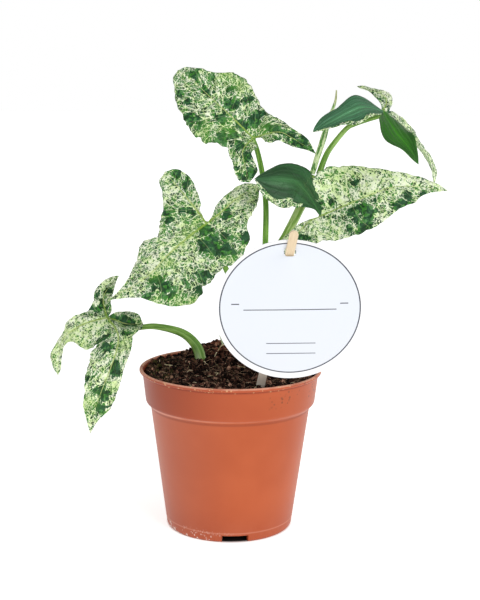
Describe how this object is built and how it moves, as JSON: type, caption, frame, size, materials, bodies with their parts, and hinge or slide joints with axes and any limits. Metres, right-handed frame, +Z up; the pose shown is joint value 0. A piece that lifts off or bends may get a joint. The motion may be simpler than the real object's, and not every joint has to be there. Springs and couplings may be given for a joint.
{
  "type": "potted arrowhead plant",
  "caption": "Young variegated arrowhead plant: mottled lobed leaves on arching stalks, in a tapered round plastic nursery pot with a white round card on a wooden stick.",
  "frame": {"origin": "centre of the pot's base, on the ground", "axes": "+Z up along the pot's axis, +X to the right and +Y to the back as the plant is seen from its front, where the card is"},
  "size_m": [0.2592, 0.1383, 0.3006],
  "materials": {
    "pot": "satin",
    "soil": "matte",
    "stem": "satin",
    "leaf": "satin",
    "stick": "matte",
    "card": "satin"
  },
  "bodies": {
    "root": {"pot": "pot", "soil": "soil", "main_stem": "stem", "petiole_top_left": "stem", "petiole_middle_left": "stem", "petiole_low_left": "stem", "petiole_right": "stem", "petiole_top_right": "stem", "new_leaf": "stem", "young_shoot": "stem", "leaf_top_left": "leaf", "leaf_middle_left": "leaf", "leaf_low_left": "leaf", "leaf_right": "leaf", "leaf_top_right": "leaf", "label_stick": "stick", "label_card": "card"}
  },
  "joints": []
}
